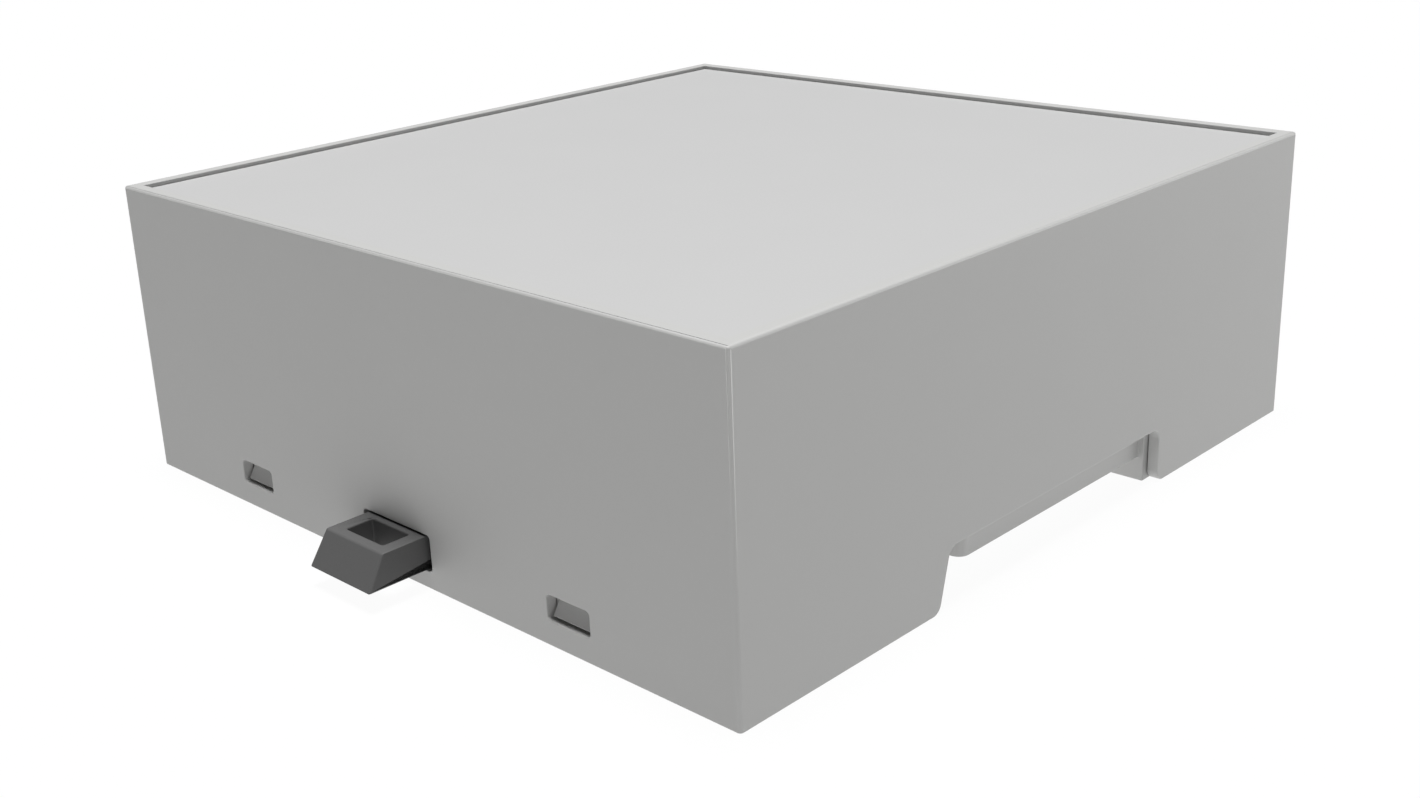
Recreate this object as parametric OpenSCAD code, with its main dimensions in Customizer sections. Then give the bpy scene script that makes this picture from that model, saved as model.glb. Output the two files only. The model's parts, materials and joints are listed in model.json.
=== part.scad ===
// Low-profile enclosure for a 35 mm top-hat rail.
// X runs along the rail, the release tab looks towards -Y and the front panel towards +Z.
// The origin is the middle of the rail seat, on the rail's centre line.

/* [Case] */
// Rail modules that the case is wide
module_count = 5; // [4:1:9]
// Width of one rail module
module_pitch = 17.5; // [17:0.1:18]
// Length of the case across the rail
case_length = 90; // [86:1:100]
// Height from the bottom rim to the top rim
case_height = 32; // [29:0.5:60]
// Rounding of the four upright edges of the cover
corner_radius = 0.4; // [0.2:0.1:1]
// Rounding of the edges around the top of the cover
top_edge_radius = 0.35; // [0.2:0.05:0.8]

/* [Rail] */
// Width of the rail over its two flanges
rail_width = 35; // [34.7:0.1:35.3]
// Thickness of the rail flanges
flange_thickness = 1; // [0.8:0.1:1.5]
// Height of the rail seat above the bottom rim
seat_height = 2.5; // [2.3:0.1:3.2]
// Gap between the rail's edge and the wall of the fixed hooks
rail_edge_gap = 0.5; // [0.2:0.1:0.8]
// Gap between a flange and the lips below it
rail_lip_gap = 0.2; // [0.1:0.05:0.3]
// Distance from the rail's centre line to the near edge of the seat
seat_near_edge = 13; // [12:0.5:14]
// Distance from the rail's edge to the wall of the base on the clip side
channel_gap = 2.8; // [2.6:0.1:4]
// Height of the recess over the near flange, above the seat
recess_height = 4.5; // [4.2:0.1:6]
// Distance that the ends of the seat stand back from the ends of the base
seat_set_back = 0.65; // [0.3:0.05:1]
// Plan rounding of the near corners of the seat
seat_corner_radius = 1.2; // [0.6:0.1:2]
// Width of each rib that seats the near flange
seat_rib_width = 1.5; // [1:0.1:2.5]
// Pitch of the ribs that seat the near flange
seat_rib_pitch = 7.5; // [5:0.5:9]

/* [Cover] */
// Thickness of the cover's walls
cover_wall = 1.2; // [1:0.1:1.6]
// Width of the rim around the front panel
rim_width = 1.5; // [1.2:0.1:2.5]
// Width of the ledge that carries the front panel
ledge_width = 1.6; // [1:0.1:3]
// Thickness of the ledge that carries the front panel
ledge_thickness = 1.4; // [1:0.1:2]
// Height of the rail notch above the bottom rim
notch_height = 5.95; // [5.6:0.05:6.5]
// Distance from the rail's centre line to the near edge of the notch, at its top
notch_near_edge = 17.3; // [17:0.1:17.8]
// Slant of the near edge of the notch from upright, in degrees
notch_slant = 15; // [5:1:18]
// Distance from the rail's centre line to the far edge of the notch
notch_far_edge = 18.7; // [18.5:0.1:19.5]
// Rounding of the notch where it meets the bottom rim
notch_foot_radius = 1.2; // [0.6:0.1:1.6]
// Rounding of the notch at its two top corners
notch_top_radius = 1.2; // [0.6:0.1:2]
// Width of the ribs that hold the circuit board down
hold_rib_width = 1.5; // [1:0.1:2.5]
// Depth of the ribs that hold the circuit board down
hold_rib_depth = 3; // [2:0.1:4]
// Distance of those ribs from the ends of the case
hold_rib_inset = 13.5; // [10:0.5:16]

/* [Snap catches] */
// Distance of the snap windows from the ends of the case
snap_inset = 19.75; // [18:0.25:21]
// Width of a snap window
snap_window_width = 5.4; // [4:0.1:7]
// Height of a snap window
snap_window_height = 2.5; // [2.2:0.1:3]
// Height of the lower edge of a snap window above the bottom rim
snap_window_base = 2.45; // [2:0.05:3]
// Rounding of the corners of the snap windows
window_radius = 0.4; // [0.2:0.05:0.6]
// Distance that a catch stands out of the base
catch_depth = 0.9; // [0.7:0.05:1.1]
// Height of the sloping face of a catch
catch_height = 1.5; // [1.2:0.1:1.8]
// Gap between a catch and the edges of its window
catch_gap = 0.3; // [0.2:0.05:0.4]

/* [Front panel] */
// Thickness of the front panel
panel_thickness = 2; // [1.5:0.1:3]
// Depth of the front panel below the rim
panel_recess = 0.45; // [0.2:0.05:1]
// Gap between the front panel and the rim
panel_gap = 0.1; // [0.05:0.05:0.3]
// Width of the snap tongues of the front panel
tongue_width = 6; // [4:0.5:10]
// Thickness of those tongues
tongue_thickness = 1.2; // [1:0.1:1.6]
// Distance of those tongues from the ends of the case
tongue_inset = 24; // [22:0.5:28]
// Distance that the barb of a tongue reaches under the ledge
barb_reach = 0.6; // [0.4:0.05:0.8]
// Height of the barb of a tongue
barb_height = 1.2; // [1:0.1:1.6]
// Depth of the stiffening frame under the panel
frame_depth = 1; // [0.6:0.1:1.4]
// Width of the stiffening frame under the panel
frame_width = 1.2; // [0.8:0.1:2]

/* [Base] */
// Gap between the base and the cover's walls
fit_gap = 0.1; // [0.05:0.05:0.2]
// Thickness of the base's walls and floors
base_wall = 1.5; // [1.2:0.1:1.8]
// Distance that the fixed hooks reach under the far flange
hook_reach = 1.5; // [1:0.1:2]
// Width of each fixed hook
hook_width = 18; // [10:1:20]
// Distance of the fixed hooks from the ends of the case
hook_inset = 21; // [19:0.5:22]
// Gap around the openings above the fixed hooks
hook_window_gap = 0.3; // [0.2:0.1:0.6]
// Height of the lead-in slope on a fixed hook
hook_lead_in = 0.6; // [0.3:0.1:0.8]

/* [Circuit board supports] */
// Height of the board above the rail seat
board_height = 8; // [7:0.5:12]
// Thickness of the circuit board
board_thickness = 1.6; // [1:0.1:2.4]
// Gap between the board and what holds it down
board_gap = 0.15; // [0.1:0.05:0.3]
// Distance of the screw pillars from the ends of the case
pillar_inset_x = 9.75; // [8:0.25:12]
// Distance of the screw pillars from the sides of the case
pillar_inset_y = 8; // [7:0.5:12]
// Radius of a screw pillar
pillar_radius = 3; // [2.4:0.1:4]
// Radius of the pilot hole in a pillar
pilot_radius = 1.15; // [0.8:0.05:1.5]
// Depth of the pilot hole in a pillar
pilot_depth = 7; // [5:0.5:8]
// Thickness of the gussets at a pillar
gusset_thickness = 1; // [0.8:0.1:1.5]

/* [Rail clip] */
// Distance that the clip slides out to free the rail
clip_travel = 3.5; // [2.5:0.1:4]
// Thickness of the clip
clip_thickness = 3.3; // [3:0.1:3.5]
// Height of the clip's underside above the bottom rim
clip_base = 2; // [1.8:0.1:2.2]
// Half the width of the clip at its underside
clip_half_width = 4.7; // [4:0.1:5.2]
// Distance that each side of the clip leans in towards its top
clip_side_draft = 0.27; // [0.1:0.01:0.5]
// Reach of the release tab out of the case, along its underside
tab_reach = 6.85; // [6:0.05:10]
// Distance that the end of the release tab leans back towards its top
tab_lean = 2.05; // [0.5:0.05:2.5]
// Length of the screwdriver slot along the rail
slot_length = 5.7; // [4.5:0.1:6.2]
// Width of the screwdriver slot
slot_width = 3; // [2.5:0.1:3.4]
// Distance of the screwdriver slot from the face of the case
slot_set_out = 0.58; // [0.4:0.01:1]
// Gap around the clip where it slides
clip_gap = 0.15; // [0.1:0.05:0.25]
// Gap beside the clip in the cover's window
clip_window_gap = 0.4; // [0.3:0.05:0.6]
// Gap above and below the clip in the cover's window
clip_window_rise = 0.2; // [0.15:0.05:0.3]
// Spare travel at the end stop
travel_gap = 0.2; // [0.1:0.05:0.3]
// Gap at the rest stop
stop_gap = 0.05; // [0.05:0.05:0.1]
// Gap between the rail's edge and the head of the clip
latch_gap = 0.3; // [0.2:0.1:0.6]
// Distance that the clip's nose reaches under the near flange
latch_reach = 1.6; // [1:0.1:2]
// Height of the nose's underside above the bottom rim
nose_base = 0.1; // [0.05:0.05:0.4]
// Half the width of the clip's head
head_half_width = 9; // [8:0.5:10]
// Length of the clip's head
head_length = 6.2; // [5.5:0.1:7]
// Distance that the stop ears stand out of the clip
ear_depth = 1.7; // [1.2:0.1:2]
// Length of the stop ears
ear_length = 1.85; // [1.5:0.05:2.5]
// Thickness of the spring arms
arm_thickness = 1.1; // [0.8:0.1:1.4]
// Height of the spring arms
arm_height = 2.2; // [1.6:0.1:2.8]
// Distance that the spring arms bow out beyond the head
arm_bow = 3.6; // [2:0.1:4.2]
// Half the width of the pocket around the clip
pocket_half_width = 14.5; // [14.5:0.5:16]
// Width of the two guide rails beside the clip
guide_width = 1.65; // [1.2:0.05:2.2]
// Distance that the guide rails reach under the clip
guide_lip_reach = 0.9; // [0.6:0.1:1.2]
// Thickness of the lips on the guide rails
guide_lip_thickness = 1; // [0.8:0.1:1.2]

/* [Hidden] */
$fn = 48;
cut = 1;             // overrun of a cut past the face that it opens
bite = 0.2;          // depth that joined shapes sink into each other

// Levels, measured from the rail seat
z_bottom = -seat_height;
z_top = z_bottom + case_height;
z_panel_top = z_top - panel_recess;
z_ledge_top = z_panel_top - panel_thickness;
z_ledge_bottom = z_ledge_top - ledge_thickness;
z_board_top = board_height + board_thickness;
z_lip = -flange_thickness - rail_lip_gap;

// Half sizes in plan
half_width = module_count * module_pitch / 2;
half_length = case_length / 2;
cover_inner_x = half_width - cover_wall;
cover_inner_y = half_length - cover_wall;
base_x = cover_inner_x - fit_gap;
base_y = cover_inner_y - fit_gap;
floor_top = z_bottom + base_wall;

// Rail channel of the base
channel_y = rail_width / 2 + channel_gap;
hook_wall_y = rail_width / 2 + rail_edge_gap;
hook_tip_y = rail_width / 2 - hook_reach;
seat_end_x = base_x - seat_set_back;

// Places of what repeats along the case
snap_x = half_width - snap_inset;
tongue_x = half_width - tongue_inset;
hold_rib_x = half_width - hold_rib_inset;
hook_x = half_width - hook_inset;
pillar_x = half_width - pillar_inset_x;
pillar_y = half_length - pillar_inset_y;

// Snap windows and catches
z_window = z_bottom + snap_window_base;
z_catch = z_window + catch_gap;

// Rail clip
z_clip = z_bottom + clip_base;
z_clip_top = z_clip + clip_thickness;
z_pocket_top = z_clip_top + clip_gap;
head_front_y = -rail_width / 2 - latch_gap;
head_back_y = head_front_y - head_length;
nose_tip_y = -rail_width / 2 + latch_reach;
z_nose = z_bottom + nose_base;
front_wall_y = -base_y + base_wall;
ear_front_y = front_wall_y + clip_travel + travel_gap;
ear_back_y = ear_front_y + ear_length;
guide_front_y = ear_back_y + stop_gap;
guide_back_y = head_back_y - clip_travel - travel_gap;
guide_x = clip_half_width + clip_gap;
first_rib_x = head_half_width + clip_window_gap + seat_rib_width;

// ---------- Outlines and small helpers ----------

// Rectangle about the origin with round corners
module round_rectangle(width, length, radius) {
    square([width - 2 * radius, length], center = true);
    square([width, length - 2 * radius], center = true);
    for (x = [-1, 1], y = [-1, 1])
        translate([x * (width / 2 - radius), y * (length / 2 - radius)]) circle(radius);
}

// Upright view of a case wall: square at the foot and round at the top
module round_topped(width, low, high, radius) {
    translate([-width / 2, low]) square([width, high - low - radius]);
    translate([-width / 2 + radius, low]) square([width - 2 * radius, high - low]);
    for (side = [-1, 1])
        translate([side * (width / 2 - radius), high - radius]) circle(radius);
}

// Extrudes a view in the plane of Y and Z along X, centred
module along_x(length) {
    rotate([90, 0, 90]) linear_extrude(length, center = true) children();
}

// Extrudes a view in the plane of X and Z along Y, from one place to another
module along_y(from, to) {
    translate([0, to, 0]) rotate([90, 0, 0]) linear_extrude(to - from) children();
}

// Box between two corners
module box(low, high) {
    translate(low) cube(high - low);
}

// Draws its children and their mirror image across the middle of the rail
module both_ends() {
    children();
    mirror([1, 0, 0]) children();
}

// ---------- Cover ----------

// The rail notch, in the plane of Y and Z. Its corners are tangent arcs: the near edge leans
// over by notch_slant, and each foot flares out into the bottom rim.
module notch_outline() {
    top = z_bottom + notch_height;
    lean = tan(notch_slant);
    near_top = -notch_near_edge;
    near_foot = near_top - notch_height * lean;
    turn = tan(45 - notch_slant / 2);
    top_cut = notch_top_radius / tan(45 + notch_slant / 2);
    foot_cut = notch_foot_radius * turn;
    direction = [sin(notch_slant), cos(notch_slant)];
    near_corner = [near_top, top];
    foot_corner = [near_foot, z_bottom];
    near_tangent = near_corner - notch_top_radius * direction / tan(45 + notch_slant / 2);
    foot_tangent = foot_corner + foot_cut * direction;

    polygon([
        [near_foot, z_bottom - cut], foot_corner, near_tangent,
        [near_top + top_cut, top], [notch_far_edge - notch_top_radius, top],
        [notch_far_edge, top - notch_top_radius], [notch_far_edge, z_bottom - cut]
    ]);
    translate([near_top + top_cut, top - notch_top_radius]) circle(notch_top_radius);
    translate([notch_far_edge, top] - notch_top_radius * [1, 1]) circle(notch_top_radius);

    // flares at the two feet
    difference() {
        polygon([
            [near_foot - foot_cut, z_bottom - cut], [near_foot + bite, z_bottom - cut],
            foot_corner + [bite, 0], foot_tangent, [near_foot - foot_cut, z_bottom]
        ]);
        translate([near_foot - foot_cut, z_bottom + notch_foot_radius])
            circle(notch_foot_radius);
    }
    difference() {
        translate([notch_far_edge - bite, z_bottom - cut])
            square([notch_foot_radius + bite, notch_foot_radius + cut]);
        translate([notch_far_edge, z_bottom] + notch_foot_radius * [1, 1])
            circle(notch_foot_radius);
    }
}

// Round-cornered window through a side wall, in the plane of X and Z
module window_outline(half, low, high) {
    translate([0, (low + high) / 2]) round_rectangle(2 * half, high - low, window_radius);
}

module cover_shell() {
    intersection() {
        translate([0, 0, z_bottom]) linear_extrude(case_height)
            round_rectangle(2 * half_width, 2 * half_length, corner_radius);
        along_y(-half_length, half_length)
            round_topped(2 * half_width, z_bottom, z_top, top_edge_radius);
        along_x(2 * half_width)
            round_topped(2 * half_length, z_bottom, z_top, top_edge_radius);
    }
}

module cover_hollow() {
    ledge_x = half_width - rim_width - ledge_width;
    ledge_y = half_length - rim_width - ledge_width;
    box([-cover_inner_x, -cover_inner_y, z_bottom - cut],
        [cover_inner_x, cover_inner_y, z_ledge_bottom]);
    box([-ledge_x, -ledge_y, z_ledge_bottom - cut], [ledge_x, ledge_y, z_top + cut]);
    box([-half_width + rim_width, -half_length + rim_width, z_ledge_top],
        [half_width - rim_width, half_length - rim_width, z_top + cut]);
}

// Rib on a side wall that ends just over the edge of the circuit board
module hold_rib() {
    box([hold_rib_x - hold_rib_width / 2, cover_inner_y - hold_rib_depth, z_board_top + board_gap],
        [hold_rib_x + hold_rib_width / 2, cover_inner_y + bite, z_ledge_bottom + bite]);
}

module cover() {
    color([0.82, 0.82, 0.81]) {
        difference() {
            cover_shell();
            cover_hollow();
            along_x(2 * half_width + 2 * cut) notch_outline();
            along_y(-half_length - cut, -cover_inner_y + cut)
                window_outline(clip_half_width + clip_window_gap,
                    z_clip - clip_window_rise, z_clip_top + clip_window_rise);
            both_ends() translate([snap_x, 0, 0]) along_y(-half_length - cut, half_length + cut)
                window_outline(snap_window_width / 2, z_window, z_window + snap_window_height);
        }
        both_ends() {
            hold_rib();
            mirror([0, 1, 0]) hold_rib();
        }
    }
}

// ---------- Front panel ----------

// Tongue that hangs inside the ledge and snaps under it with a ramped barb
module snap_tongue() {
    face_y = half_length - rim_width - ledge_width - fit_gap;
    barb_top = z_ledge_bottom - fit_gap;
    barb_foot = barb_top - barb_height;
    translate([tongue_x, 0, 0]) along_x(tongue_width)
        polygon([
            [face_y - tongue_thickness, z_ledge_top + bite], [face_y, z_ledge_top + bite],
            [face_y, barb_top], [face_y + fit_gap + barb_reach, barb_top],
            [face_y, barb_foot], [face_y - tongue_thickness, barb_foot]
        ]);
}

module front_panel() {
    panel_x = half_width - rim_width - panel_gap;
    panel_y = half_length - rim_width - panel_gap;
    frame_x = panel_x - ledge_width - tongue_thickness - 2 * panel_gap;
    frame_y = panel_y - ledge_width - tongue_thickness - 2 * panel_gap;
    color([0.81, 0.81, 0.81]) {
        translate([0, 0, z_ledge_top]) linear_extrude(panel_thickness)
            square([2 * panel_x, 2 * panel_y], center = true);
        translate([0, 0, z_ledge_top - frame_depth]) linear_extrude(frame_depth + bite)
            difference() {
                square([2 * frame_x, 2 * frame_y], center = true);
                square([2 * (frame_x - frame_width), 2 * (frame_y - frame_width)], center = true);
            }
        both_ends() {
            snap_tongue();
            mirror([0, 1, 0]) snap_tongue();
        }
    }
}

// ---------- Base ----------

// Underside of the base in the plane of Y and Z: a foot on each side of the rail channel,
// the recess over the near flange and the seat
module base_outline() {
    polygon([
        [-base_y, z_bottom], [-channel_y, z_bottom], [-channel_y, recess_height],
        [-seat_near_edge, recess_height], [-seat_near_edge, 0], [hook_wall_y, 0],
        [hook_wall_y, z_bottom], [base_y, z_bottom], [base_y, z_board_top], [-base_y, z_board_top]
    ]);
}

// Inside of the base, one wall thickness from its underside
module base_hollow_outline() {
    polygon([
        [-base_y + base_wall, floor_top], [-channel_y - base_wall, floor_top],
        [-channel_y - base_wall, recess_height + base_wall],
        [-seat_near_edge + base_wall, recess_height + base_wall],
        [-seat_near_edge + base_wall, base_wall], [hook_wall_y + base_wall, base_wall],
        [hook_wall_y + base_wall, floor_top], [base_y - base_wall, floor_top],
        [base_y - base_wall, z_board_top + cut], [-base_y + base_wall, z_board_top + cut]
    ]);
}

module base_hollow() {
    wide = 2 * (base_x - base_wall);
    narrow = 2 * (seat_end_x - base_wall);
    along_x(narrow) base_hollow_outline();
    along_x(wide) difference() {
        base_hollow_outline();
        translate([-channel_y, -base_wall])
            square([channel_y + hook_wall_y, recess_height + 2 * base_wall]);
    }
}

// What the seat's ends leave free below the end walls, with the seat's round near corners
module seat_end_cut() {
    difference() {
        box([seat_end_x - seat_corner_radius, -channel_y, z_bottom - cut],
            [base_x + cut, hook_wall_y, recess_height]);
        translate([0, 0, z_bottom - 2 * cut]) linear_extrude(recess_height - z_bottom + 3 * cut) {
            translate([0, -seat_near_edge + seat_corner_radius])
                square([seat_end_x, hook_wall_y + seat_near_edge]);
            translate([0, -seat_near_edge])
                square([seat_end_x - seat_corner_radius, seat_corner_radius * 2]);
            translate([seat_end_x, -seat_near_edge] + seat_corner_radius * [-1, 1])
                circle(seat_corner_radius);
        }
    }
}

// Ribs that reach down to the near flange beside the clip's head
module seat_ribs() {
    last_x = seat_end_x - seat_corner_radius - seat_rib_width;
    for (x = [first_rib_x : seat_rib_pitch : last_x])
        box([x, -rail_width / 2, 0],
            [x + seat_rib_width, -seat_near_edge + bite, recess_height + bite]);
}

// Lip of a fixed hook, with a slope that leads the flange in
module hook_lip() {
    translate([hook_x, 0, 0]) along_x(hook_width)
        polygon([
            [hook_wall_y + bite, z_bottom], [hook_tip_y + hook_lead_in, z_bottom],
            [hook_tip_y, z_bottom + hook_lead_in], [hook_tip_y, z_lip],
            [hook_wall_y + bite, z_lip]
        ]);
}

// Opening in the seat above a hook lip
module hook_window() {
    box([hook_x - hook_width / 2 - hook_window_gap, hook_tip_y - hook_window_gap, -cut],
        [hook_x + hook_width / 2 + hook_window_gap, hook_wall_y, base_wall + cut]);
}

// Catch on a side wall: square below, where the window's edge snaps in, and sloping above
module snap_catch() {
    translate([snap_x, 0, 0]) along_x(snap_window_width - 2 * catch_gap)
        polygon([
            [base_y - bite, z_catch], [base_y + catch_depth, z_catch],
            [base_y, z_catch + catch_height], [base_y - bite, z_catch + catch_height]
        ]);
}

// Screw pillar for the circuit board, with gussets towards the middle of the base
module pillar() {
    translate([pillar_x, pillar_y, floor_top - bite]) {
        cylinder(h = board_height - floor_top + bite, r = pillar_radius);
        translate([-2 * pillar_radius, -gusset_thickness / 2, 0])
            cube([2 * pillar_radius, gusset_thickness, board_height / 2]);
    }
}

module pilot_hole() {
    translate([pillar_x, pillar_y, board_height - pilot_depth])
        cylinder(h = pilot_depth + cut, r = pilot_radius);
}

// Roof and walls over the pocket that the clip slides in
module pocket_roof() {
    roof_x = pocket_half_width + base_wall;
    box([-roof_x, -base_y + bite, z_bottom],
        [roof_x, -channel_y, z_pocket_top + base_wall]);
}

module pocket_cut() {
    window_x = clip_half_width + clip_window_gap;
    head_x = head_half_width + clip_window_gap;
    box([-pocket_half_width, front_wall_y, z_bottom - cut],
        [pocket_half_width, -channel_y - base_wall, z_pocket_top]);
    box([-head_x, -channel_y - base_wall - cut, z_bottom - cut],
        [head_x, -channel_y + cut, z_pocket_top]);
    box([-window_x, -base_y - cut, z_clip - clip_window_rise],
        [window_x, front_wall_y + cut, z_pocket_top]);
}

// Guide rail beside the clip, with a lip that holds the clip up
module guide_rail() {
    lip_top = z_clip - clip_gap;
    box([guide_x, guide_front_y, lip_top - guide_lip_thickness],
        [guide_x + guide_width, guide_back_y, z_pocket_top + bite]);
    box([guide_x - guide_lip_reach, guide_front_y, lip_top - guide_lip_thickness],
        [guide_x + guide_width, guide_back_y, lip_top]);
}

module base() {
    color([0.78, 0.78, 0.77]) {
        difference() {
            union() {
                difference() {
                    intersection() {
                        along_x(2 * base_x) base_outline();
                        translate([0, 0, z_bottom - cut]) linear_extrude(case_height)
                            round_rectangle(2 * base_x, 2 * base_y, corner_radius);
                    }
                    base_hollow();
                    both_ends() seat_end_cut();
                }
                pocket_roof();
                both_ends() {
                    pillar();
                    mirror([0, 1, 0]) pillar();
                    snap_catch();
                    mirror([0, 1, 0]) snap_catch();
                    seat_ribs();
                }
            }
            pocket_cut();
            both_ends() {
                hook_window();
                pilot_hole();
                mirror([0, 1, 0]) pilot_hole();
            }
        }
        both_ends() {
            hook_lip();
            guide_rail();
        }
    }
}

// ---------- Rail clip ----------

// Cross-section of the clip, leaning in towards its top
module clip_section() {
    polygon([
        [-clip_half_width, z_clip], [clip_half_width, z_clip],
        [clip_half_width - clip_side_draft, z_clip_top],
        [-clip_half_width + clip_side_draft, z_clip_top]
    ]);
}

// Side view of the tab and the bar, with the tab's end leaning back
module clip_side_view() {
    polygon([
        [-half_length - tab_reach, z_clip], [head_back_y + bite, z_clip],
        [head_back_y + bite, z_clip_top], [-half_length - tab_reach + tab_lean, z_clip_top]
    ]);
}

// Side view of the head, with the nose that reaches under the flange and its ramp
module head_side_view() {
    polygon([
        [head_back_y, z_clip], [head_front_y - latch_reach, z_nose],
        [head_front_y, z_nose], [nose_tip_y, (z_nose + z_lip) / 2], [nose_tip_y, z_lip],
        [head_front_y, z_lip], [head_front_y, z_clip_top], [head_back_y, z_clip_top]
    ]);
}

// Spring arm: a bow that leaves the back of the head and ends before the base's front wall
module spring_arm() {
    chord = head_back_y - ear_front_y;
    bow_radius = (chord * chord / 4 + arm_bow * arm_bow) / (2 * arm_bow);
    centre_x = head_half_width - arm_thickness + arm_bow - bow_radius;
    z_arm = (z_clip + z_clip_top - arm_height) / 2;
    translate([0, 0, z_arm]) linear_extrude(arm_height)
        intersection() {
            translate([centre_x, ear_front_y + chord / 2]) difference() {
                circle(bow_radius + arm_thickness / 2, $fn = 96);
                circle(bow_radius - arm_thickness / 2, $fn = 96);
            }
            translate([centre_x, ear_front_y]) square([2 * bow_radius, chord + bite]);
        }
}

// Stop ear: ramped on the side that goes in first and square on the other
module stop_ear() {
    side = clip_half_width - clip_side_draft;
    translate([0, 0, z_clip + clip_gap]) linear_extrude(clip_thickness - 2 * clip_gap)
        polygon([
            [side - bite, ear_front_y], [side, ear_front_y],
            [side + ear_depth, ear_back_y], [side - bite, ear_back_y]
        ]);
}

module rail_clip() {
    color([0.34, 0.34, 0.34])
        difference() {
            union() {
                intersection() {
                    along_y(-half_length - tab_reach - cut, head_back_y + bite) clip_section();
                    along_x(4 * clip_half_width) clip_side_view();
                }
                along_x(2 * head_half_width) head_side_view();
                both_ends() {
                    spring_arm();
                    stop_ear();
                }
            }
            box([-slot_length / 2, -half_length - slot_set_out - slot_width, z_clip - cut],
                [slot_length / 2, -half_length - slot_set_out, z_clip_top + cut]);
        }
}

cover();
front_panel();
base();
rail_clip();
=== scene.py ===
"""Dresses a low-profile rail enclosure: moulded edges, plastics, studio floor, lights and camera."""

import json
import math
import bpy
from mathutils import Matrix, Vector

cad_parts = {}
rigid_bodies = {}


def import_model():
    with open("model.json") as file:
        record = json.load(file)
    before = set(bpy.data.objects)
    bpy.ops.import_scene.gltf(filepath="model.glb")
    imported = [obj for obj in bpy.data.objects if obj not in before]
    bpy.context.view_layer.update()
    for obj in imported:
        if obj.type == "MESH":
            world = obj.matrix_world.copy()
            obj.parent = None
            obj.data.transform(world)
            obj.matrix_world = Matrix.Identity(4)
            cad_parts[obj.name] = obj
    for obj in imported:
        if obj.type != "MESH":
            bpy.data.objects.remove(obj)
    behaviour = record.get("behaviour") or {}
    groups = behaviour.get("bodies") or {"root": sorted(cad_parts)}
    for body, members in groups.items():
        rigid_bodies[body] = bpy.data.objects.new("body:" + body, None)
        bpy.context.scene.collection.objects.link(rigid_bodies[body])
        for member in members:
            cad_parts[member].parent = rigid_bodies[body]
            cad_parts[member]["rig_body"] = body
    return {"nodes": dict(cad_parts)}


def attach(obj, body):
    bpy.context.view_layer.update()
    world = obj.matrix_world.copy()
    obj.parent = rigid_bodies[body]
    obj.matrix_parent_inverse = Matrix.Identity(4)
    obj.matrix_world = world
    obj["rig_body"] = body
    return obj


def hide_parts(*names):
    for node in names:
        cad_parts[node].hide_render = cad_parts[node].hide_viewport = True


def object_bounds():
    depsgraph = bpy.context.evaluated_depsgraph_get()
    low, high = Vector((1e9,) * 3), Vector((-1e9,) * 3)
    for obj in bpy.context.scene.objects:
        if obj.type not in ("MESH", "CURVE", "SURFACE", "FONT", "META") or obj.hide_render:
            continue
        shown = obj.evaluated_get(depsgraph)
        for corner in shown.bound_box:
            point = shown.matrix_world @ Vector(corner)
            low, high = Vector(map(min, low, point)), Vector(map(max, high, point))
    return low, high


bl_info = {
    "name": "Rail Enclosure Dressing",
    "version": (1, 0, 0),
    "blender": (4, 5, 0),
    "location": "View3D > Sidebar > Enclosure",
    "description": "Moulded edges, plastic finishes and a studio for a low-profile rail enclosure",
    "category": "Object",
}

import bpy
from mathutils import Matrix, Vector

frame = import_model()
cad_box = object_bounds()

MILLIMETRE = 0.001
MERGE_DISTANCE = 0.001 * MILLIMETRE
# faces that turn less than this from each other are one flat face
FLAT_ANGLE = math.radians(0.5)
# nearly all of a noise pattern lies between these two values
NOISE_LOW, NOISE_HIGH = 0.3, 0.7
CLOUD_DETAIL = 3
GRAIN_DETAIL = 2
GRAIN_ROUGHNESS = 0.6
# roughness that the grain's tips lose and its pits gain against the mean
POLISH = 0.06
# width of the camera's sensor, in millimetres
SENSOR_WIDTH = 36
# nearest distance that the camera sees, in metres
NEAR_CLIP = 0.01


# ---------- What a user can change ----------


class EnclosureEdges(bpy.types.PropertyGroup):
    """Width of the rounding on the moulded edges."""

    cover: bpy.props.FloatProperty(
        name="Cover",
        description="Rounding of the edges of the cover's walls, windows and notches",
        default=0.12 * MILLIMETRE, min=0, unit="LENGTH", precision=5,
    )
    panel: bpy.props.FloatProperty(
        name="Front panel",
        description="Rounding of the edges of the front panel",
        default=0.1 * MILLIMETRE, min=0, unit="LENGTH", precision=5,
    )
    base: bpy.props.FloatProperty(
        name="Base",
        description="Rounding of the edges of the base",
        default=0.1 * MILLIMETRE, min=0, unit="LENGTH", precision=5,
    )
    clip: bpy.props.FloatProperty(
        name="Rail clip",
        description="Rounding of the edges of the rail clip",
        default=0.2 * MILLIMETRE, min=0, unit="LENGTH", precision=5,
    )
    segments: bpy.props.IntProperty(
        name="Segments",
        description="Faces across each rounding",
        default=3, min=1, max=6,
    )
    sharp_angle: bpy.props.FloatProperty(
        name="Sharp angle",
        description="Smallest angle between two faces that is rounded",
        default=math.radians(28), min=0, max=math.pi, subtype="ANGLE",
    )


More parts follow.
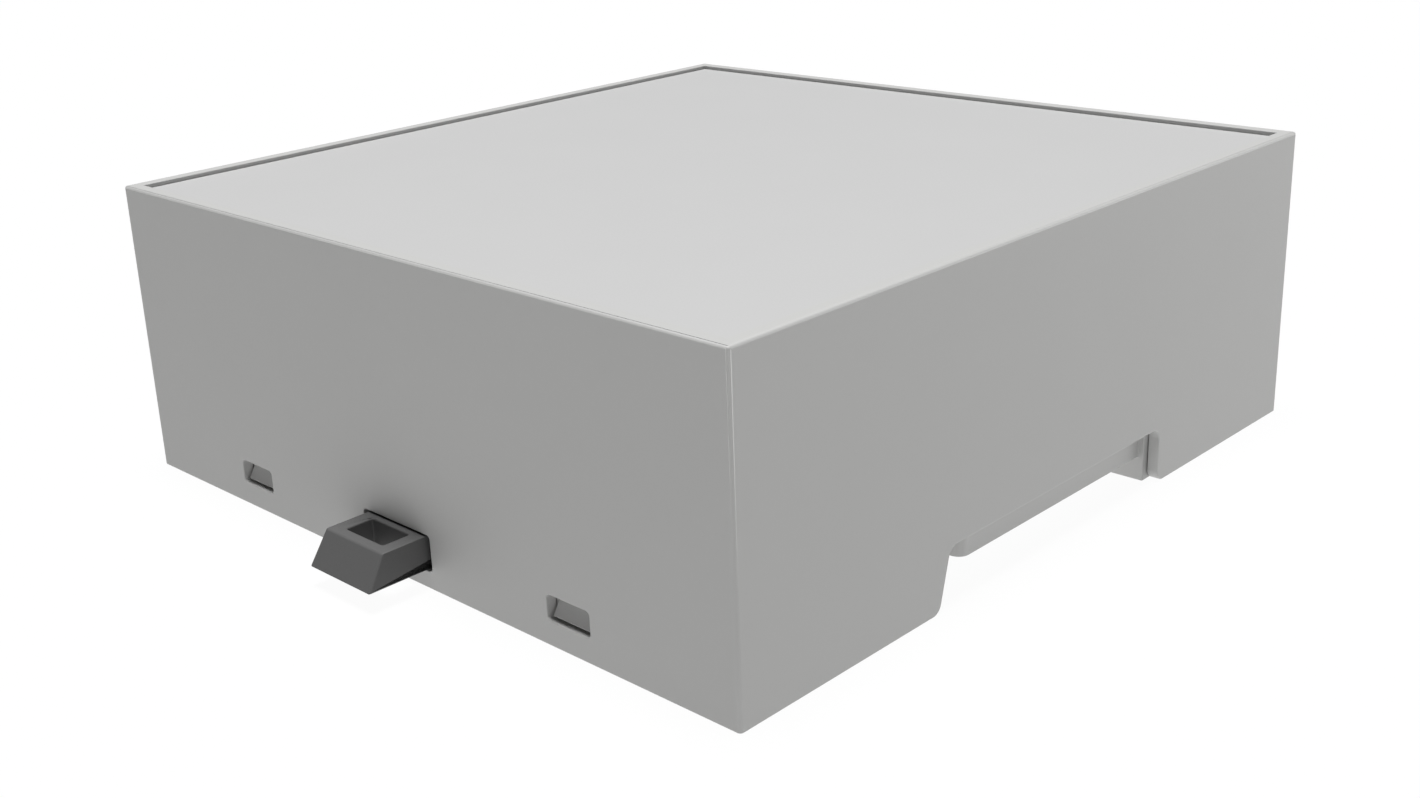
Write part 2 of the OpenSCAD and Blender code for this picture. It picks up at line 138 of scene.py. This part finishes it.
class EnclosurePlastics(bpy.types.PropertyGroup):
    """Colours and surface of the moulded plastics."""

    cover_colour: bpy.props.FloatVectorProperty(
        name="Cover colour",
        description="Colour of the light grey cover",
        default=(0.503, 0.503, 0.496), size=3, min=0, max=1, subtype="COLOR",
    )
    panel_colour: bpy.props.FloatVectorProperty(
        name="Panel colour",
        description="Colour of the front panel, a shade more neutral than the cover",
        default=(0.503, 0.503, 0.503), size=3, min=0, max=1, subtype="COLOR",
    )
    base_colour: bpy.props.FloatVectorProperty(
        name="Base colour",
        description="Colour of the light grey base",
        default=(0.503, 0.503, 0.496), size=3, min=0, max=1, subtype="COLOR",
    )
    clip_colour: bpy.props.FloatVectorProperty(
        name="Clip colour",
        description="Colour of the dark grey rail clip",
        default=(0.098, 0.098, 0.098), size=3, min=0, max=1, subtype="COLOR",
    )
    grain: bpy.props.FloatProperty(
        name="Grain",
        description="Size of one grain of the spark texture of the mould",
        default=0.22 * MILLIMETRE, min=0.05 * MILLIMETRE, unit="LENGTH", precision=5,
    )
    grain_depth: bpy.props.FloatProperty(
        name="Grain depth",
        description="Depth of the spark texture of the mould",
        default=0.006 * MILLIMETRE, min=0, unit="LENGTH", precision=6,
    )
    cloud: bpy.props.FloatProperty(
        name="Cloud",
        description="Size of one soft cloud of colour from the flow of the melt",
        default=9 * MILLIMETRE, min=MILLIMETRE, unit="LENGTH",
    )
    case_mottle: bpy.props.FloatProperty(
        name="Case mottle",
        description="Share by which the clouds change the colour of the cover, panel and base",
        default=0.004, min=0, max=1, precision=4,
    )
    clip_mottle: bpy.props.FloatProperty(
        name="Clip mottle",
        description="Share by which the clouds change the colour of the rail clip",
        default=0.012, min=0, max=1, precision=4,
    )
    roughness: bpy.props.FloatProperty(
        name="Roughness",
        description="Mean roughness of all the plastics",
        default=0.55, min=POLISH, max=1 - POLISH, subtype="FACTOR",
    )
    case_gloss: bpy.props.FloatProperty(
        name="Case gloss",
        description="Strength of the sheen of the cover, panel and base",
        default=0.5, min=0, max=1, subtype="FACTOR",
    )
    clip_gloss: bpy.props.FloatProperty(
        name="Clip gloss",
        description="Strength of the sheen of the rail clip",
        default=0.3, min=0, max=1, subtype="FACTOR",
    )


class EnclosureStudio(bpy.types.PropertyGroup):
    """Floor, lights and camera."""

    floor_reach: bpy.props.FloatProperty(
        name="Floor reach",
        description="Distance that the floor reaches on every side",
        default=6.0, min=1, unit="LENGTH",
    )
    floor_shade: bpy.props.FloatProperty(
        name="Floor shade",
        description="Share of the light that the floor throws back, which sets how dark shadows on it are",
        default=0.03, min=0, max=1, subtype="FACTOR",
    )
    floor_glow: bpy.props.FloatProperty(
        name="Floor glow",
        description="Light that the white floor gives off by itself",
        default=0.96, min=0, max=1, subtype="FACTOR",
    )
    key_strength: bpy.props.FloatProperty(
        name="Key strength",
        description="Strength of the soft light overhead",
        default=4.31, min=0,
    )
    key_softness: bpy.props.FloatProperty(
        name="Key softness",
        description="Angle that the soft light overhead spans",
        default=math.radians(20), min=0, max=math.pi, subtype="ANGLE",
    )
    key_lean: bpy.props.FloatVectorProperty(
        name="Key lean",
        description="Direction that the soft light overhead comes from",
        default=(0.0, 0.0, 1.0), size=3, subtype="DIRECTION",
    )
    side_power: bpy.props.FloatProperty(
        name="Side light power",
        description="Power of the low panel light beside the far corner",
        default=0.223, min=0, unit="POWER", precision=4,
    )
    side_place: bpy.props.FloatVectorProperty(
        name="Side light place",
        description="Place of the low panel light beside the far corner",
        default=(0.22, 0.22, 0.005), size=3, subtype="TRANSLATION",
    )
    side_aim: bpy.props.FloatVectorProperty(
        name="Side light aim",
        description="Point that the low panel light is turned to",
        default=(0.04, 0.04, 0.0), size=3, subtype="TRANSLATION",
    )
    side_size: bpy.props.FloatProperty(
        name="Side light size",
        description="Width of the low panel light beside the far corner",
        default=0.1, min=0.01, unit="LENGTH",
    )
    fill_power: bpy.props.FloatProperty(
        name="Fill light power",
        description="Power of the panel light in front of the release tab",
        default=0.052, min=0, unit="POWER", precision=4,
    )
    fill_place: bpy.props.FloatVectorProperty(
        name="Fill light place",
        description="Place of the panel light in front of the release tab",
        default=(0.16, -0.26, 0.05), size=3, subtype="TRANSLATION",
    )
    fill_aim: bpy.props.FloatVectorProperty(
        name="Fill light aim",
        description="Point that the panel light in front is turned to",
        default=(0.02, -0.045, 0.01), size=3, subtype="TRANSLATION",
    )
    fill_size: bpy.props.FloatProperty(
        name="Fill light size",
        description="Width of the panel light in front of the release tab",
        default=0.15, min=0.01, unit="LENGTH",
    )
    camera_place: bpy.props.FloatVectorProperty(
        name="Camera place",
        description="Place of the camera",
        default=(0.122645, -0.128843, 0.068580), size=3, subtype="TRANSLATION", precision=5,
    )
    azimuth: bpy.props.FloatProperty(
        name="Azimuth",
        description="Turn of the view about the upright, from a look along +Y",
        default=math.radians(45.214), subtype="ANGLE",
    )
    elevation: bpy.props.FloatProperty(
        name="Elevation",
        description="Angle that the view looks down by",
        default=math.radians(19.080), subtype="ANGLE",
    )
    roll: bpy.props.FloatProperty(
        name="Roll",
        description="Turn of the camera about its line of sight",
        default=math.radians(2.521), subtype="ANGLE",
    )
    lens: bpy.props.FloatProperty(
        name="Lens",
        description="Focal length in millimetres",
        default=42.92, min=1,
    )
    shift: bpy.props.FloatVectorProperty(
        name="Shift",
        description="Shift of the frame, as shares of its width",
        default=(0.02549, -0.02834), size=2,
    )


# ---------- Small helpers ----------


def deselect_all():
    """Leaves nothing selected, because an operator acts on all that is."""
    if bpy.context.object is not None and bpy.context.object.mode != "OBJECT":
        bpy.ops.object.mode_set(mode="OBJECT")
    bpy.ops.object.select_all(action="DESELECT")


def make_active(piece):
    """Selects one piece alone and makes it the active one."""
    deselect_all()
    piece.select_set(True)
    bpy.context.view_layer.objects.active = piece


def copy_of_node(node, name):
    """A free copy of a CAD node's mesh, merged and freed of the edges inside its flat faces."""
    piece = bpy.data.objects.new(name, frame["nodes"][node].data.copy())
    bpy.context.scene.collection.objects.link(piece)
    make_active(piece)
    bpy.ops.object.mode_set(mode="EDIT")
    bpy.ops.mesh.select_mode(type="VERT")
    bpy.ops.mesh.select_all(action="SELECT")
    bpy.ops.mesh.remove_doubles(threshold=MERGE_DISTANCE)
    bpy.ops.mesh.dissolve_limited(angle_limit=FLAT_ANGLE)
    bpy.ops.object.mode_set(mode="OBJECT")
    return piece


def round_edges(piece, width):
    """Rounds the sharp edges of a piece and keeps its flat faces flat.

    The width isn't clamped, because the short facets of the arcs would clamp it to nothing.
    """
    edges = bpy.context.scene.enclosure_edges
    make_active(piece)
    rounding = piece.modifiers.new("Rounding", "BEVEL")
    rounding.width = width
    rounding.segments = edges.segments
    rounding.limit_method = "ANGLE"
    rounding.angle_limit = edges.sharp_angle
    rounding.use_clamp_overlap = False
    rounding.miter_outer = "MITER_ARC"
    rounding.harden_normals = True
    bpy.ops.object.modifier_apply(modifier=rounding.name)


def dress_node(node, name, width, material):
    """Puts a rounded copy of a CAD node in its place, in a finish of its own."""
    piece = copy_of_node(node, name)
    round_edges(piece, width)
    piece.data.materials.clear()
    piece.data.materials.append(material)
    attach(piece, frame["nodes"][node]["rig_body"])
    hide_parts(node)


# ---------- Materials ----------


def add_noise(tree, place, size, detail):
    """A noise pattern in the object's own space, with features of the given size."""
    noise = tree.nodes.new("ShaderNodeTexNoise")
    noise.inputs["Scale"].default_value = 1 / size
    noise.inputs["Detail"].default_value = detail
    tree.links.new(place.outputs["Object"], noise.inputs["Vector"])
    return noise


def moulded_plastic(name, colour, mottle, gloss):
    """Plastic from a spark-eroded mould: fine grain, soft mottling and a low sheen."""
    plastics = bpy.context.scene.enclosure_plastics
    material = bpy.data.materials.new(name)
    material.use_nodes = True
    tree = material.node_tree
    nodes, links = tree.nodes, tree.links
    shader = nodes["Principled BSDF"]
    shader.inputs["Specular IOR Level"].default_value = gloss
    place = nodes.new("ShaderNodeTexCoord")

    # cloudy change of colour from the flow of the melt
    cloud = add_noise(tree, place, plastics.cloud, CLOUD_DETAIL)
    tint = nodes.new("ShaderNodeValToRGB")
    dark_end, light_end = tint.color_ramp.elements
    dark_end.color = (*[channel * (1 - mottle) for channel in colour], 1)
    light_end.color = (*[channel * (1 + mottle) for channel in colour], 1)
    dark_end.position = NOISE_LOW
    light_end.position = NOISE_HIGH
    links.new(cloud.outputs["Fac"], tint.inputs["Fac"])
    links.new(tint.outputs["Color"], shader.inputs["Base Color"])

    # fine grain from the mould
    grain = add_noise(tree, place, plastics.grain, GRAIN_DETAIL)
    grain.inputs["Roughness"].default_value = GRAIN_ROUGHNESS
    bump = nodes.new("ShaderNodeBump")
    bump.inputs["Strength"].default_value = 1
    bump.inputs["Distance"].default_value = plastics.grain_depth
    links.new(grain.outputs["Fac"], bump.inputs["Height"])
    links.new(bump.outputs["Normal"], shader.inputs["Normal"])

    # the grain's tips are rubbed a little smoother than its pits
    polish = nodes.new("ShaderNodeMapRange")
    polish.inputs["From Min"].default_value = NOISE_LOW
    polish.inputs["From Max"].default_value = NOISE_HIGH
    polish.inputs["To Min"].default_value = plastics.roughness + POLISH
    polish.inputs["To Max"].default_value = plastics.roughness - POLISH
    links.new(grain.outputs["Fac"], polish.inputs["Value"])
    links.new(polish.outputs["Result"], shader.inputs["Roughness"])
    return material


# ---------- Pieces ----------


class ENCLOSURE_OT_cover(bpy.types.Operator):
    """Dresses the cover with rounded edges and light grey plastic"""

    bl_idname = "enclosure.cover"
    bl_label = "Cover"

    def execute(self, context):
        plastics = context.scene.enclosure_plastics
        material = moulded_plastic("light_grey_plastic", plastics.cover_colour,
                                   plastics.case_mottle, plastics.case_gloss)
        dress_node("cover", "moulded_cover", context.scene.enclosure_edges.cover, material)
        return {"FINISHED"}


class ENCLOSURE_OT_front_panel(bpy.types.Operator):
    """Dresses the front panel with rounded edges and neutral grey plastic"""

    bl_idname = "enclosure.front_panel"
    bl_label = "Front panel"

    def execute(self, context):
        plastics = context.scene.enclosure_plastics
        material = moulded_plastic("panel_plastic", plastics.panel_colour,
                                   plastics.case_mottle, plastics.case_gloss)
        dress_node("front_panel", "moulded_front_panel", context.scene.enclosure_edges.panel, material)
        return {"FINISHED"}


class ENCLOSURE_OT_base(bpy.types.Operator):
    """Dresses the base with rounded edges and light grey plastic"""

    bl_idname = "enclosure.base"
    bl_label = "Base"

    def execute(self, context):
        plastics = context.scene.enclosure_plastics
        material = moulded_plastic("base_plastic", plastics.base_colour,
                                   plastics.case_mottle, plastics.case_gloss)
        dress_node("base", "moulded_base", context.scene.enclosure_edges.base, material)
        return {"FINISHED"}


class ENCLOSURE_OT_rail_clip(bpy.types.Operator):
    """Dresses the rail clip with rounded edges and dark grey plastic"""

    bl_idname = "enclosure.rail_clip"
    bl_label = "Rail clip"

    def execute(self, context):
        plastics = context.scene.enclosure_plastics
        material = moulded_plastic("dark_grey_plastic", plastics.clip_colour,
                                   plastics.clip_mottle, plastics.clip_gloss)
        dress_node("rail_clip", "moulded_rail_clip", context.scene.enclosure_edges.clip, material)
        return {"FINISHED"}


# ---------- Studio ----------


def white_floor_material(studio):
    """White paper that glows, so that shadows on it stay faint."""
    material = bpy.data.materials.new("white_floor")
    material.use_nodes = True
    shader = material.node_tree.nodes["Principled BSDF"]
    shader.inputs["Base Color"].default_value = (*[studio.floor_shade] * 3, 1)
    shader.inputs["Roughness"].default_value = 1
    shader.inputs["Specular IOR Level"].default_value = 0
    shader.inputs["Emission Color"].default_value = (1, 1, 1, 1)
    shader.inputs["Emission Strength"].default_value = studio.floor_glow
    return material


def add_floor(studio, level):
    """A wide white floor at the height of the enclosure's lowest point."""
    deselect_all()
    bpy.ops.mesh.primitive_plane_add(size=2 * studio.floor_reach, location=(0, 0, level))
    floor = bpy.context.object
    floor.name = "floor"
    bpy.ops.object.transform_apply(location=True, rotation=True, scale=True)
    floor.data.materials.append(white_floor_material(studio))


def add_key_light(studio):
    """The soft light overhead, which lights the front panel."""
    deselect_all()
    bpy.ops.object.light_add(type="SUN", location=(0, 0, 1))
    key = bpy.context.object
    key.name = "key_light"
    key.rotation_mode = "QUATERNION"
    key.rotation_quaternion = Vector(studio.key_lean).to_track_quat("Z", "Y")
    key.data.energy = studio.key_strength
    key.data.angle = studio.key_softness


def add_panel_light(name, power, place, aim, size):
    """A square light that shines on the enclosure and isn't seen itself."""
    deselect_all()
    bpy.ops.object.light_add(type="AREA", location=place)
    light = bpy.context.object
    light.name = name
    light.rotation_mode = "QUATERNION"
    light.rotation_quaternion = (Vector(place) - Vector(aim)).to_track_quat("Z", "Y")
    light.data.energy = power
    light.data.size = size
    light.visible_camera = False


def add_dark_sky():
    """A black sky, because the floor and the lights give all the light."""
    world = bpy.data.worlds.new("dark_sky")
    world.use_nodes = True
    world.node_tree.nodes["Background"].inputs["Strength"].default_value = 0
    bpy.context.scene.world = world


def add_camera(studio):
    """The camera, turned to the view's azimuth and then tilted and rolled."""
    deselect_all()
    turn = Matrix.Rotation(studio.azimuth, 4, "Z")
    tilt = Matrix.Rotation(math.pi / 2 - studio.elevation, 4, "X")
    roll = Matrix.Rotation(-studio.roll, 4, "Z")
    bpy.ops.object.camera_add()
    camera = bpy.context.object
    camera.name = "view_camera"
    camera.matrix_world = Matrix.Translation(studio.camera_place) @ turn @ tilt @ roll
    camera.data.lens = studio.lens
    camera.data.sensor_width = SENSOR_WIDTH
    camera.data.shift_x, camera.data.shift_y = studio.shift
    camera.data.clip_start = NEAR_CLIP
    bpy.context.scene.camera = camera


class ENCLOSURE_OT_stage(bpy.types.Operator):
    """Adds the white floor, the soft lights and the camera"""

    bl_idname = "enclosure.stage"
    bl_label = "Studio"

    def execute(self, context):
        studio = context.scene.enclosure_studio
        add_floor(studio, cad_box[0][2])
        add_key_light(studio)
        add_panel_light("side_light", studio.side_power, studio.side_place,
                        studio.side_aim, studio.side_size)
        add_panel_light("fill_light", studio.fill_power, studio.fill_place,
                        studio.fill_aim, studio.fill_size)
        add_dark_sky()
        add_camera(studio)
        context.scene.view_settings.view_transform = "Standard"
        context.scene.view_settings.look = "None"
        return {"FINISHED"}


class ENCLOSURE_PT_workshop(bpy.types.Panel):
    """Lists the steps that dress the enclosure"""

    bl_label = "Rail enclosure"
    bl_idname = "ENCLOSURE_PT_workshop"
    bl_space_type = "VIEW_3D"
    bl_region_type = "UI"
    bl_category = "Enclosure"

    def draw(self, context):
        for operator in OPERATORS:
            self.layout.operator(operator.bl_idname)
        for name, group in GROUPS.items():
            box = self.layout.box()
            for field in group.__annotations__:
                box.prop(getattr(context.scene, name), field)


OPERATORS = (
    ENCLOSURE_OT_cover,
    ENCLOSURE_OT_front_panel,
    ENCLOSURE_OT_base,
    ENCLOSURE_OT_rail_clip,
    ENCLOSURE_OT_stage,
)
GROUPS = {
    "enclosure_edges": EnclosureEdges,
    "enclosure_plastics": EnclosurePlastics,
    "enclosure_studio": EnclosureStudio,
}


def register():
    """Registers the groups of settings, the operators and the panel."""
    for name, group in GROUPS.items():
        bpy.utils.register_class(group)
        setattr(bpy.types.Scene, name, bpy.props.PointerProperty(type=group))
    for operator in OPERATORS:
        bpy.utils.register_class(operator)
    bpy.utils.register_class(ENCLOSURE_PT_workshop)


def unregister():
    """Takes away what register adds, in the opposite order."""
    bpy.utils.unregister_class(ENCLOSURE_PT_workshop)
    for operator in reversed(OPERATORS):
        bpy.utils.unregister_class(operator)
    for name, group in reversed(GROUPS.items()):
        delattr(bpy.types.Scene, name)
        bpy.utils.unregister_class(group)


def main():
    register()
    bpy.ops.enclosure.cover()
    bpy.ops.enclosure.front_panel()
    bpy.ops.enclosure.base()
    bpy.ops.enclosure.rail_clip()
    bpy.ops.enclosure.stage()


if __name__ == "__main__":
    main()
